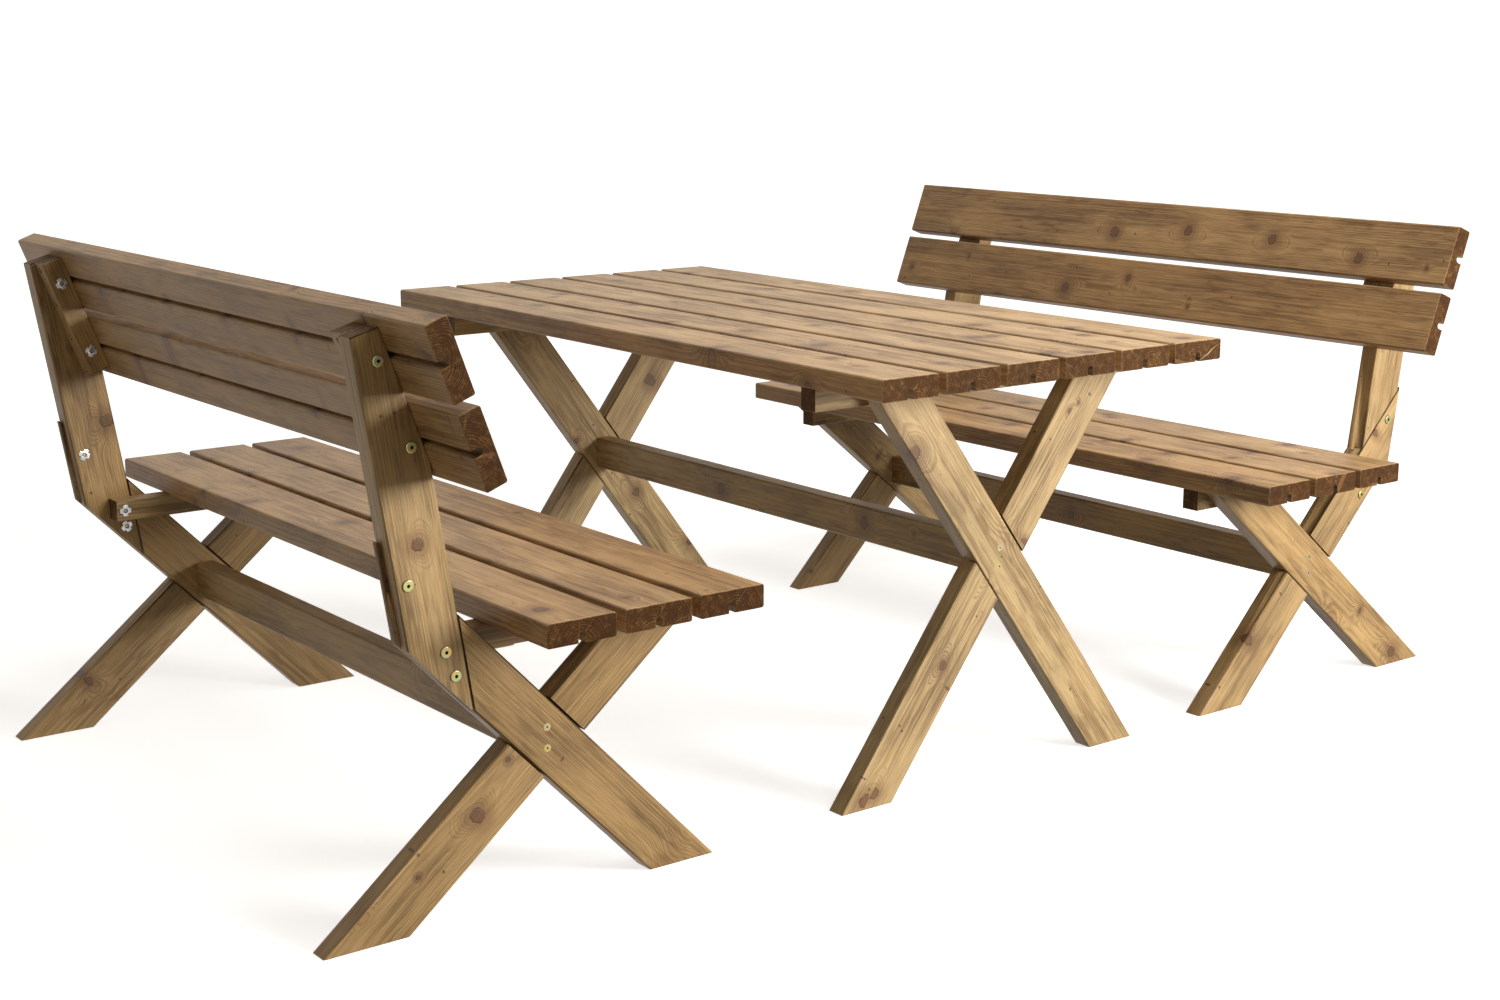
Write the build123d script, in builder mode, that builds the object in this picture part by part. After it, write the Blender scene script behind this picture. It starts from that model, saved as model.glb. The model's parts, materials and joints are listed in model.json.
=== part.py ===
"""Garden picnic set: an X-frame table and two free-standing X-frame benches with backrests.

Units are millimetres.  +Z is up, X runs along the boards and Y runs across the set.
The origin lies on the ground, in the middle of the set's outline.
Every bench piece is drawn in the bench's own frame: the crossing of its legs is at
Y = 0 and the sitter faces +Y.  The bench is then stood in its place beside the table.
"""
import os
from math import acos, atan2, cos, degrees, hypot, radians, sin, tan

from build123d import *

os.makedirs("parts", exist_ok=True)

# ---- driving dimensions: the timber -------------------------------------------------
STOCK = 36.0              # thickness of every plank, leg and board
BOARD_W = 115.0           # width of the top, seat and back boards
BOARD_GAP = 15.0          # open gap between two boards
BOARD_ROUND = 4.0         # rounding of a board's long edges
GROOVE_W = 12.0           # relief groove along the hidden face of a board
GROOVE_D = 17.0
LEG_W = 86.0              # width of the legs and uprights
EDGE_ROUND = 3.0          # rounding of the long edges of legs and uprights
BATTEN_H = 38.0           # height of the battens, bearers and back cleats
BATTEN_ROUND = 2.0
STRETCHER_H = 64.0
STRETCHER_ROUND = 4.0
LAP_GAP = 2.5             # saw clearance on each side of a half-lap
TONGUE_GAP = 1.5          # clearance where an upright is let into its leg

# ---- driving dimensions: the table --------------------------------------------------
LENGTH = 1500.0           # length of the boards of the table and the benches
OVERHANG = 133.0          # board end to the outer face of a frame
TABLE_H = 740.0
TOP_BOARDS = 6
TABLE_CROSS_DOWN = 319.0  # underside of the top down to the crossing of the table legs
TABLE_LEG_IN = 90.16      # edge of the top to the outer corner of a leg's top
TABLE_BATTEN_INSET = 7.5  # board edge to the end of a batten

# ---- driving dimensions: the bench --------------------------------------------------
SEAT_H = 460.0
SEAT_BOARDS = 3
SEAT_FROM_UPRIGHT = 63.0  # upright to the rear edge of the seat
BENCH_CROSS_H = 248.0     # height of the crossing of the bench legs
FRONT_FOOT_LEAN = 44.0    # leg from the front foot up to the backrest, degrees from the vertical
SEAT_LEG_IN = 13.94       # front edge of the seat to the corner of the leg under it
BEARER_PAST_UPRIGHT = 36.0   # bearer's rear end behind the upright's front edge
BEARER_PAST_LEG = 8.0     # bearer's front end past the corner of the seat leg
UPRIGHT_LEAN = 9.0
UPRIGHT_PAST_LEG = 2.0    # upright's front edge past the leg's upper edge at seat height
BEND_UP = 216.0           # seat to the bend in the upright's front edge
RECLINE = 20.5            # lean of the backrest
UPRIGHT_UP = 408.0        # seat to the front corner of the upright's top
TOP_CUT = 16.0            # slope of the sawn top of the upright
TONGUE_PROUD = 4.0        # the leg's end stands this far behind the upright
BACK_BOARDS = 2
BACK_DROP = 24.0          # lower edge of the lowest back board below the bend
CLEAT_DROP = 8.0          # lower end of the cleat below the bend

# ---- driving dimensions: where the benches stand ------------------------------------
LEFT_REACH = 902.0        # table centre to the left bench's crossing
RIGHT_REACH = 827.0       # table centre to the right bench's crossing

# ---- driving dimensions: fastenings -------------------------------------------------
BOLT_D = 8.0
BOLT_HEAD_D = 17.0
BOLT_HEAD_H = 2.4
BOLT_SOCKET = 5.0         # across the flats of the hex socket
BOLT_SOCKET_DEEP = 3.0
BOLT_ROOM = 0.5           # radial room of a bolt in its hole
TONGUE_BOLT_UP = 49.0     # seat to the bolt through upright and tongue
TONGUE_BOLT_IN = 19.0     # that bolt to the rear edge of the upright
HEEL_BOLT_DOWN = 37.0     # bearer's bolt down to the lowest bolt
HEEL_BOLT_IN = 20.0       # those two bolts to the front edge of the upright
NUT_FLANGE_D = 21.0
NUT_FLANGE_H = 1.8
NUT_BARREL_D = 10.0
NUT_BARREL_H = 11.0
NUT_ROOM = 0.1            # radial room of a nut's barrel in its hole
SCREW_HEAD_H = 4.0
DRIVE_D = 3.2
DRIVE_DEEP = 2.5
FRAME_SCREW_D = 6.0       # screws through a crossing into the stretcher
FRAME_SCREW_HEAD = 12.0
FRAME_SCREW_LONG = 90.0
FRAME_SCREW_STEP = 32.0
WOOD_SCREW_D = 5.0        # screws through battens and cleats into the boards
WOOD_SCREW_HEAD = 10.0
WOOD_SCREW_LONG = 56.0
WOOD_SCREW_SINK = 3.0     # depth of the pocket over a wood screw's head
WOOD_SCREW_STEP = 64.0    # distance between the two screws of one board

# ---- dependent sizes ----------------------------------------------------------------
PITCH = BOARD_W + BOARD_GAP
HALF = STOCK / 2
FRAME_X = LENGTH / 2 - OVERHANG
TOP_W = TOP_BOARDS * BOARD_W + (TOP_BOARDS - 1) * BOARD_GAP
TABLE_UNDER = TABLE_H - STOCK
SEAT_UNDER = SEAT_H - STOCK
REACH = 3000.0            # longer than any piece, for tools that must pass right through

TABLE_Y = (LEFT_REACH - RIGHT_REACH) / 2


def lean_to(reach, rise):
    """The lean, in degrees from the vertical, of a leg whose outer edge passes through a point
    at a reach from the crossing and a rise above it."""
    return degrees(acos(LEG_W / 2 / hypot(reach, rise)) - atan2(rise, reach))


def leg_line(lean_deg, cross_h, foot_side, edge, z):
    """Y at height z of one edge of a leg through the crossing.

    foot_side is +1 for a foot towards +Y; edge is -1, 0 or +1 for the -Y edge, the middle
    or the +Y edge."""
    a = radians(lean_deg)
    return foot_side * (cross_h - z) * tan(a) + edge * LEG_W / 2 / cos(a)


# The legs of the table end under its outer boards, however high or wide the top is.
TABLE_CROSS_H = TABLE_UNDER - TABLE_CROSS_DOWN
TABLE_LEG_LEAN = lean_to(TOP_W / 2 - TABLE_LEG_IN, TABLE_CROSS_DOWN)

# The upright starts from the back leg; the seat and its bearer start from the upright, and the
# leg from the rear foot ends under the front of the seat.
UPRIGHT_FRONT = leg_line(FRONT_FOOT_LEAN, BENCH_CROSS_H, 1, 1, SEAT_H) + UPRIGHT_PAST_LEG
UPRIGHT_TOP = SEAT_H + UPRIGHT_UP
SEAT_REAR = UPRIGHT_FRONT + SEAT_FROM_UPRIGHT
SEAT_FRONT = SEAT_REAR + SEAT_BOARDS * BOARD_W + (SEAT_BOARDS - 1) * BOARD_GAP
REAR_FOOT_LEAN = lean_to(SEAT_FRONT - SEAT_LEG_IN, SEAT_UNDER - BENCH_CROSS_H)
BEARER_REAR = UPRIGHT_FRONT - BEARER_PAST_UPRIGHT
BEARER_FRONT = leg_line(REAR_FOOT_LEAN, BENCH_CROSS_H, -1, 1, SEAT_UNDER) + BEARER_PAST_LEG

# Corner where the upright's front edge bends, and the directions up and behind the recline.
lean = tan(radians(UPRIGHT_LEAN))
bend = (UPRIGHT_FRONT - BEND_UP * lean, SEAT_H + BEND_UP)
up_back = (-sin(radians(RECLINE)), cos(radians(RECLINE)))
off_back = (-cos(radians(RECLINE)), -sin(radians(RECLINE)))


def front_line(z):
    """Y of the upright's straight front edge at height z."""
    return UPRIGHT_FRONT - (z - SEAT_H) * lean


def rear_line(z):
    """Y of the upright's rear edge at height z."""
    return front_line(z) - LEG_W / cos(radians(UPRIGHT_LEAN))


def on_back(along, behind):
    """(Y, Z) of a point measured up the recline from the bend, and behind its front line."""
    y = bend[0] + along * up_back[0] + behind * off_back[0]
    z = bend[1] + along * up_back[1] + behind * off_back[1]
    return (y, z)


# ---- tools for drilling -------------------------------------------------------------
def x_hole(x, y, z, radius, long):
    """A hole drilled along X that starts at x and runs for a signed length."""
    with Locations(Location((x + long / 2, y, z), (0, 90, 0))):
        Cylinder(radius, abs(long), mode=Mode.SUBTRACT)


def bolt_hole(x_head, x_nut, y, z):
    """A hole for a bolt, opened at the nut's end for the barrel of the nut."""
    way = 1 if x_nut > x_head else -1
    x_hole(x_head - way, y, z, BOLT_D / 2 + BOLT_ROOM, x_nut - x_head + 2 * way)
    x_hole(x_nut + way, y, z, NUT_BARREL_D / 2 + NUT_ROOM, -way * (NUT_BARREL_H + 2))


def screw_solid(at, d, head_d, long, point, drive, mode):
    """A countersunk screw whose head lies in the XY plane of `at` and which runs down -Z."""
    with BuildSketch(Plane.XZ, mode=Mode.PRIVATE) as half:
        with BuildLine():
            Polyline((0, 0), (head_d / 2, 0), (d / 2, -SCREW_HEAD_H), (d / 2, point - long),
                     (0, -long), (0, 0))
        make_face()
    turned = revolve(half.sketch, Axis.Z, mode=Mode.PRIVATE)
    if drive:
        with BuildSketch(Plane.XY, mode=Mode.PRIVATE) as key:
            RegularPolygon(DRIVE_D / 2, 6)
        turned = turned - extrude(key.sketch, -DRIVE_DEEP, mode=Mode.PRIVATE)
    add(at * turned, mode=mode)


def frame_screw(x, y, z, inward, as_hole):
    """Screw along X with its head at x; inward is the direction of its point."""
    at = Location((x, y, z), (0, 90 if inward < 0 else -90, 0))
    mode = Mode.SUBTRACT if as_hole else Mode.ADD
    screw_solid(at, FRAME_SCREW_D, FRAME_SCREW_HEAD, FRAME_SCREW_LONG, 8, not as_hole, mode)


def wood_screw(at, as_hole):
    """Wood screw along -Z of `at`, its head sunk in a pocket."""
    sunk = at * Location((0, 0, -WOOD_SCREW_SINK))
    if as_hole:
        screw_solid(sunk, WOOD_SCREW_D, WOOD_SCREW_HEAD, WOOD_SCREW_LONG, 7, False, Mode.SUBTRACT)
        with Locations(at):
            Cylinder(WOOD_SCREW_HEAD / 2, 2 * WOOD_SCREW_SINK, mode=Mode.SUBTRACT)
    else:
        screw_solid(sunk, WOOD_SCREW_D, WOOD_SCREW_HEAD, WOOD_SCREW_LONG, 7, True, Mode.ADD)


def bolt_solid(x_head, x_nut, y, z):
    """Bolt along X: a flat round head with a hex socket at x_head, its end level at the nut."""
    way = 1 if x_nut > x_head else -1
    at = Location((x_head, y, z), (0, 90 * way, 0))
    long = abs(x_nut - x_head)
    with BuildSketch(Plane.XY, mode=Mode.PRIVATE) as key:
        RegularPolygon(BOLT_SOCKET / 2, 6, major_radius=False)
    head = Pos(0, 0, -BOLT_HEAD_H / 2) * Cylinder(BOLT_HEAD_D / 2, BOLT_HEAD_H, mode=Mode.PRIVATE)
    rim = head.edges().filter_by(GeomType.CIRCLE).sort_by(Axis.Z)[0]
    head = head.fillet(1.4, [rim])
    shank = Pos(0, 0, long / 2) * Cylinder(BOLT_D / 2, long, mode=Mode.PRIVATE)
    socket = Pos(0, 0, -BOLT_HEAD_H) * extrude(key.sketch, BOLT_SOCKET_DEEP, mode=Mode.PRIVATE)
    add(at * (head + shank - socket))


def nut_solid(x_face, y, z, outward):
    """Four-petal tee nut on the face at x_face; outward is the direction the face looks."""
    at = Location((x_face, y, z), (0, 90 * outward, 0))
    petal = NUT_FLANGE_D / 2 - 4.2
    with BuildSketch(Plane.XY, mode=Mode.PRIVATE) as flange:
        Circle(NUT_FLANGE_D / 2 - 2.8)
        with PolarLocations(petal, 4, 45):
            Circle(4.2)
        Circle(BOLT_D / 2, mode=Mode.SUBTRACT)
    with BuildSketch(Plane.XY, mode=Mode.PRIVATE) as barrel:
        Circle(NUT_BARREL_D / 2)
        Circle(BOLT_D / 2, mode=Mode.SUBTRACT)
    nut = extrude(flange.sketch, NUT_FLANGE_H, mode=Mode.PRIVATE)
    nut = nut + extrude(barrel.sketch, -NUT_BARREL_H, mode=Mode.PRIVATE)
    add(at * nut)


# ---- tools for timber ---------------------------------------------------------------
def board_bar(at):
    """A grooved, round-edged board along X; `at` holds the middle of its show face."""
    with BuildSketch(Plane.YZ.offset(-LENGTH / 2), mode=Mode.PRIVATE) as profile:
        with Locations((0, -STOCK / 2)):
            RectangleRounded(BOARD_W, STOCK, BOARD_ROUND)
        with Locations((0, -STOCK)):
            Rectangle(GROOVE_W, 2 * (GROOVE_D - GROOVE_W / 2), mode=Mode.SUBTRACT)
        with Locations((0, -STOCK + GROOVE_D - GROOVE_W / 2)):
            Circle(GROOVE_W / 2, mode=Mode.SUBTRACT)
    add(at * extrude(profile.sketch, LENGTH, mode=Mode.PRIVATE))


def slanted(x_mid, lean_deg, cross_h, foot_side):
    """Plane across a leg's length at the crossing; its local X is world X."""
    a = radians(lean_deg)
    return Plane((x_mid, 0, cross_h), x_dir=(1, 0, 0), z_dir=(0, -foot_side * sin(a), cos(a)))


def leg_bar(x_mid, lean_deg, cross_h, foot_side):
    """A long round-edged bar along a leg's line."""
    with BuildSketch(slanted(x_mid, lean_deg, cross_h, foot_side), mode=Mode.PRIVATE) as profile:
        RectangleRounded(STOCK, LEG_W, EDGE_ROUND)
    add(extrude(profile.sketch, REACH / 2, both=True, mode=Mode.PRIVATE))


def keep_between(z0, z1):
    """Saw the current piece level at its foot and its top."""
    split(bisect_by=Plane.XY.offset(z0), keep=Keep.TOP)
    split(bisect_by=Plane.XY.offset(z1), keep=Keep.BOTTOM)


def lap_notch(x_mid, side, lean_deg, cross_h, foot_side):
    """Cut half of the thickness away where the other leg crosses.

    side is +1 to cut the +X half away; the lean describes the other leg."""
    plane = slanted(x_mid + side * HALF, lean_deg, cross_h, foot_side)
    with Locations(plane.location):
        Box(STOCK, LEG_W + 2 * LAP_GAP, 4 * LEG_W, mode=Mode.SUBTRACT)


def bar_along_y(x_mid, y0, y1, z0, z1, radius):
    """A square batten along Y with rounded long edges."""
    with BuildSketch(Plane.XZ.offset(-y0), mode=Mode.PRIVATE) as profile:
        with Locations((x_mid, (z0 + z1) / 2)):
            RectangleRounded(STOCK, z1 - z0, radius)
    add(extrude(profile.sketch, y0 - y1, mode=Mode.PRIVATE))


def polygon_slab(x0, x1, points, mode=Mode.ADD):
    """A slab between x0 and x1 with the given (Y, Z) outline."""
    with BuildSketch(Plane.YZ.offset(x0), mode=Mode.PRIVATE) as outline:
        with BuildLine():
            Polyline(*points, close=True)
        make_face()
    add(extrude(outline.sketch, x1 - x0, mode=Mode.PRIVATE), mode=mode)


def stretcher_bar(cross_h):
    """A plank on edge along X between the inner faces of two frames."""
    inner = FRAME_X - STOCK
    with BuildSketch(Plane.YZ.offset(-inner), mode=Mode.PRIVATE) as profile:
        with Locations((0, cross_h)):
            RectangleRounded(STOCK, STRETCHER_H, STRETCHER_ROUND)
    add(extrude(profile.sketch, 2 * inner, mode=Mode.PRIVATE))
    for side in (-1, 1):
        for dz in (-FRAME_SCREW_STEP / 2, FRAME_SCREW_STEP / 2):
            frame_screw(side * FRAME_X, 0, cross_h + dz, -side, True)


def save(piece, label, spot):
    """Stand a piece in its place in the set and write it out."""
    placed = spot * piece
    placed.label = label
    export_step(placed, f"parts/{label}.step")


# ---- the frames' places along X -----------------------------------------------------
# Both frames of a table or bench are alike, shifted along X: `mid` is the middle of the
# frame's thickness, `inner` the face towards the middle and `outer` the face outwards.
FRAMES = {
    "left": {"mid": -FRAME_X + HALF, "outer": -FRAME_X, "inner": -FRAME_X + STOCK, "way": 1},
    "right": {"mid": FRAME_X - HALF, "outer": FRAME_X, "inner": FRAME_X - STOCK, "way": -1},
}
for frame in FRAMES.values():
    frame["batten_mid"] = frame["inner"] + frame["way"] * HALF
    frame["batten_face"] = frame["inner"] + frame["way"] * STOCK


def cross_screw_holes(frame, cross_h):
    for dz in (-FRAME_SCREW_STEP / 2, FRAME_SCREW_STEP / 2):
        frame_screw(frame["outer"], 0, cross_h + dz, frame["way"], True)


# ---- the table ----------------------------------------------------------------------
TABLE_SPOT = Location((0, TABLE_Y, 0))
BATTEN_END = TOP_W / 2 - TABLE_BATTEN_INSET
TABLE_BOLT_Z = TABLE_UNDER - BATTEN_H / 2
top_centres = [-TOP_W / 2 + BOARD_W / 2 + n * PITCH for n in range(TOP_BOARDS)]
# Half a pitch apart lie the spots midway between two board screws; the bolt takes the nearest.
leg_y = leg_line(TABLE_LEG_LEAN, TABLE_CROSS_H, -1, 0, TABLE_BOLT_Z)
TABLE_BOLT_Y = round((leg_y - top_centres[0]) / (PITCH / 2)) * PITCH / 2 + top_centres[0]
table_screw_ys = [y + s * WOOD_SCREW_STEP / 2 for y in top_centres for s in (-1, 1)]


def under_screw(x, y, z_under, as_hole):
    """A wood screw driven upwards from the underside of a batten."""
    wood_screw(Location((x, y, z_under), (180, 0, 0)), as_hole)


for number, y_mid in enumerate(top_centres, 1):
    with BuildPart() as board:
        board_bar(Location((0, y_mid, TABLE_H)))
        for frame in FRAMES.values():
            for s in (-1, 1):
                under_screw(frame["batten_mid"], y_mid + s * WOOD_SCREW_STEP / 2, TABLE_UNDER - BATTEN_H, True)
    save(board.part, f"table_board_{number}", TABLE_SPOT)

for side, frame in FRAMES.items():
    # The leg that runs down to +Y is whole on the +X face; the other is whole on the -X face.
    for name, foot, cut_side in (("a", 1, -1), ("b", -1, 1)):
        with BuildPart() as leg:
            leg_bar(frame["mid"], TABLE_LEG_LEAN, TABLE_CROSS_H, foot)
            keep_between(0, TABLE_UNDER)
            lap_notch(frame["mid"], cut_side, TABLE_LEG_LEAN, TABLE_CROSS_H, -foot)
            cross_screw_holes(frame, TABLE_CROSS_H)
            bolt_hole(frame["outer"], frame["batten_face"], -foot * TABLE_BOLT_Y, TABLE_BOLT_Z)
        save(leg.part, f"table_leg_{side}_{name}", TABLE_SPOT)
    with BuildPart() as batten:
        bar_along_y(frame["batten_mid"], -BATTEN_END, BATTEN_END, TABLE_UNDER - BATTEN_H, TABLE_UNDER, BATTEN_ROUND)
        for y in (-TABLE_BOLT_Y, TABLE_BOLT_Y):
            bolt_hole(frame["outer"], frame["batten_face"], y, TABLE_BOLT_Z)
        for y in table_screw_ys:
            under_screw(frame["batten_mid"], y, TABLE_UNDER - BATTEN_H, True)
    save(batten.part, f"table_batten_{side}", TABLE_SPOT)

with BuildPart() as stretcher:
    stretcher_bar(TABLE_CROSS_H)
save(stretcher.part, "table_stretcher", TABLE_SPOT)

with BuildPart() as screws:
    for frame in FRAMES.values():
        for dz in (-FRAME_SCREW_STEP / 2, FRAME_SCREW_STEP / 2):
            frame_screw(frame["outer"], 0, TABLE_CROSS_H + dz, frame["way"], False)
save(screws.part, "table_frame_screws", TABLE_SPOT)

with BuildPart() as screws:
    for frame in FRAMES.values():
        for y in table_screw_ys:
            under_screw(frame["batten_mid"], y, TABLE_UNDER - BATTEN_H, False)
save(screws.part, "table_board_screws", TABLE_SPOT)

with BuildPart() as bolts:
    for frame in FRAMES.values():
        for y in (-TABLE_BOLT_Y, TABLE_BOLT_Y):
            bolt_solid(frame["outer"], frame["batten_face"], y, TABLE_BOLT_Z)
save(bolts.part, "table_bolts", TABLE_SPOT)

with BuildPart() as nuts:
    for frame in FRAMES.values():
        for y in (-TABLE_BOLT_Y, TABLE_BOLT_Y):
            nut_solid(frame["batten_face"], y, TABLE_BOLT_Z, frame["way"])
save(nuts.part, "table_tee_nuts", TABLE_SPOT)

# ---- the bench ----------------------------------------------------------------------
BENCH_SPOTS = {
    "left": Location((0, TABLE_Y - LEFT_REACH, 0)),
    "right": Location((0, TABLE_Y + RIGHT_REACH, 0), (0, 0, 180)),
}
seat_centres = [SEAT_REAR + BOARD_W / 2 + n * PITCH for n in range(SEAT_BOARDS)]
back_centres = [-BACK_DROP + BOARD_W / 2 + n * PITCH for n in range(BACK_BOARDS)]
BEARER_Z = SEAT_UNDER - BATTEN_H / 2
seat_leg_y = leg_line(REAR_FOOT_LEAN, BENCH_CROSS_H, -1, 0, BEARER_Z)

# Bolts through the frame alone end on the frame's inner face; the others also take in the
# bearer or the cleat and end on its face.
tongue_bolt_z = SEAT_H + TONGUE_BOLT_UP
heel_bolt_z = BEARER_Z - HEEL_BOLT_DOWN
FRAME_BOLTS = [
    (rear_line(tongue_bolt_z) + TONGUE_BOLT_IN, tongue_bolt_z),
    (front_line(heel_bolt_z) - HEEL_BOLT_IN, heel_bolt_z),
]
BATTEN_BOLTS = [
    (UPRIGHT_FRONT - HEEL_BOLT_IN, BEARER_Z),
    (round((seat_leg_y - seat_centres[0]) / (PITCH / 2)) * PITCH / 2 + seat_centres[0], BEARER_Z),
]
CLEAT_BOLTS = [on_back(along, BATTEN_H / 2) for along in back_centres]
back_screw_spots = [along + s * WOOD_SCREW_STEP / 2 for along in back_centres for s in (-1, 1)]


def front_foot_leg(frame):
    """Leg from the front foot to the backrest, whole on the +X face at the crossing.

    Above the seat only its -X half is left, as a tongue beside the upright."""
    mid = frame["mid"]
    leg_bar(mid, FRONT_FOOT_LEAN, BENCH_CROSS_H, 1)
    keep_between(0, REACH)
    behind = Plane((0, rear_line(SEAT_H) - TONGUE_PROUD, SEAT_H), x_dir=(1, 0, 0),
                   z_dir=(0, -cos(radians(UPRIGHT_LEAN)), -sin(radians(UPRIGHT_LEAN))))
    split(bisect_by=behind, keep=Keep.BOTTOM)
    lap_notch(mid, -1, REAR_FOOT_LEAN, BENCH_CROSS_H, -1)
    polygon_slab(mid, mid + STOCK, [
        (front_line(BENCH_CROSS_H) + TONGUE_GAP, BENCH_CROSS_H), (front_line(REACH) + TONGUE_GAP, REACH),
        (-2 * REACH, REACH), (-2 * REACH, BENCH_CROSS_H)], Mode.SUBTRACT)


def upright_piece(frame):
    """Upright of the backrest: let into the leg on the +X side, tapered above the bend."""
    mid = frame["mid"]
    top_front = on_back((UPRIGHT_TOP - bend[1]) / up_back[1], 0)
    drop = tan(radians(TOP_CUT))
    rear_z = (top_front[1] - drop * (top_front[0] - rear_line(0))) / (1 + drop * lean)
    low = BENCH_CROSS_H
    polygon_slab(mid - HALF, mid + HALF, [
        (front_line(low), low), bend, top_front, (rear_line(rear_z), rear_z), (rear_line(low), low)])
    fillet(edges().filter_by(GeomType.LINE).filter_by(lambda e: abs(e.tangent_at(0.5).X) < 0.1), EDGE_ROUND)
    a = radians(FRONT_FOOT_LEAN)
    below = Plane((0, leg_line(FRONT_FOOT_LEAN, BENCH_CROSS_H, 1, -1, BENCH_CROSS_H), BENCH_CROSS_H),
                  x_dir=(1, 0, 0), z_dir=(0, cos(a), sin(a)))
    split(bisect_by=below, keep=Keep.TOP)
    # The half beside the tongue ends just above the leg's upper edge.
    y_at = leg_line(FRONT_FOOT_LEAN, BENCH_CROSS_H, 1, 1, 0) + TONGUE_GAP / cos(a)
    polygon_slab(mid - STOCK, mid, [
        (y_at, 0), (y_at - REACH * tan(a), REACH), (-2 * REACH, REACH), (-2 * REACH, 0)], Mode.SUBTRACT)


def back_board(along):
    """`along` is the middle of the board, measured up the recline from the bend."""
    y, z = on_back(along, -STOCK)
    board_bar(Location((0, y, z), (RECLINE - 90, 0, 0)))


def back_screw(frame, along, as_hole):
    """A wood screw driven from the cleat's rear edge into a back board."""
    y, z = on_back(along, BATTEN_H)
    wood_screw(Location((frame["batten_mid"], y, z), (90 + RECLINE, 0, 0)), as_hole)


def cleat_piece(frame):
    """Batten inside the upright, level with its tapered edge; the back boards are screwed to it."""
    top_front = on_back((UPRIGHT_TOP - bend[1]) / up_back[1], 0)
    across = Plane((frame["batten_mid"], *on_back(0, BATTEN_H / 2)), x_dir=(1, 0, 0), z_dir=(0, *up_back))
    with BuildSketch(across, mode=Mode.PRIVATE) as profile:
        RectangleRounded(STOCK, BATTEN_H, BATTEN_ROUND)
    add(extrude(profile.sketch, REACH / 2, both=True, mode=Mode.PRIVATE))
    square_up = (0, -sin(radians(TOP_CUT)), cos(radians(TOP_CUT)))
    split(bisect_by=Plane((0, *top_front), x_dir=(1, 0, 0), z_dir=square_up), keep=Keep.BOTTOM)
    split(bisect_by=Plane((0, *on_back(-CLEAT_DROP, 0)), x_dir=(1, 0, 0), z_dir=square_up), keep=Keep.TOP)


for number, y_mid in enumerate(seat_centres, 1):
    with BuildPart() as board:
        board_bar(Location((0, y_mid, SEAT_H)))
        for frame in FRAMES.values():
            for s in (-1, 1):
                under_screw(frame["batten_mid"], y_mid + s * WOOD_SCREW_STEP / 2, SEAT_UNDER - BATTEN_H, True)
    for bench, spot in BENCH_SPOTS.items():
        save(board.part, f"{bench}_bench_seat_board_{number}", spot)

for number, along in enumerate(back_centres, 1):
    with BuildPart() as board:
        back_board(along)
        for frame in FRAMES.values():
            for s in (-1, 1):
                back_screw(frame, along + s * WOOD_SCREW_STEP / 2, True)
    for bench, spot in BENCH_SPOTS.items():
        save(board.part, f"{bench}_bench_back_board_{number}", spot)

for side, frame in FRAMES.items():
    outer, inner, face = frame["outer"], frame["inner"], frame["batten_face"]
    with BuildPart() as back_leg:
        front_foot_leg(frame)
        cross_screw_holes(frame, BENCH_CROSS_H)
        for y, z in FRAME_BOLTS:
            bolt_hole(outer, inner, y, z)
        bolt_hole(outer, face, *BATTEN_BOLTS[0])
    with BuildPart() as seat_leg:
        leg_bar(frame["mid"], REAR_FOOT_LEAN, BENCH_CROSS_H, -1)
        keep_between(0, SEAT_UNDER)
        lap_notch(frame["mid"], 1, FRONT_FOOT_LEAN, BENCH_CROSS_H, 1)
        cross_screw_holes(frame, BENCH_CROSS_H)
        bolt_hole(outer, face, *BATTEN_BOLTS[1])
    with BuildPart() as upright:
        upright_piece(frame)
        for y, z in FRAME_BOLTS:
            bolt_hole(outer, inner, y, z)
        for y, z in [BATTEN_BOLTS[0]] + CLEAT_BOLTS:
            bolt_hole(outer, face, y, z)
    with BuildPart() as bearer:
        bar_along_y(frame["batten_mid"], BEARER_REAR, BEARER_FRONT, SEAT_UNDER - BATTEN_H, SEAT_UNDER, BATTEN_ROUND)
        for y, z in BATTEN_BOLTS:
            bolt_hole(outer, face, y, z)
        for y_mid in seat_centres:
            for s in (-1, 1):
                under_screw(frame["batten_mid"], y_mid + s * WOOD_SCREW_STEP / 2, SEAT_UNDER - BATTEN_H, True)
    with BuildPart() as cleat:
        cleat_piece(frame)
        for y, z in CLEAT_BOLTS:
            bolt_hole(outer, face, y, z)
        for along in back_screw_spots:
            back_screw(frame, along, True)
    for bench, spot in BENCH_SPOTS.items():
        save(back_leg.part, f"{bench}_bench_back_leg_{side}", spot)
        save(seat_leg.part, f"{bench}_bench_seat_leg_{side}", spot)
        save(upright.part, f"{bench}_bench_upright_{side}", spot)
        save(bearer.part, f"{bench}_bench_bearer_{side}", spot)
        save(cleat.part, f"{bench}_bench_cleat_{side}", spot)

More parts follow.
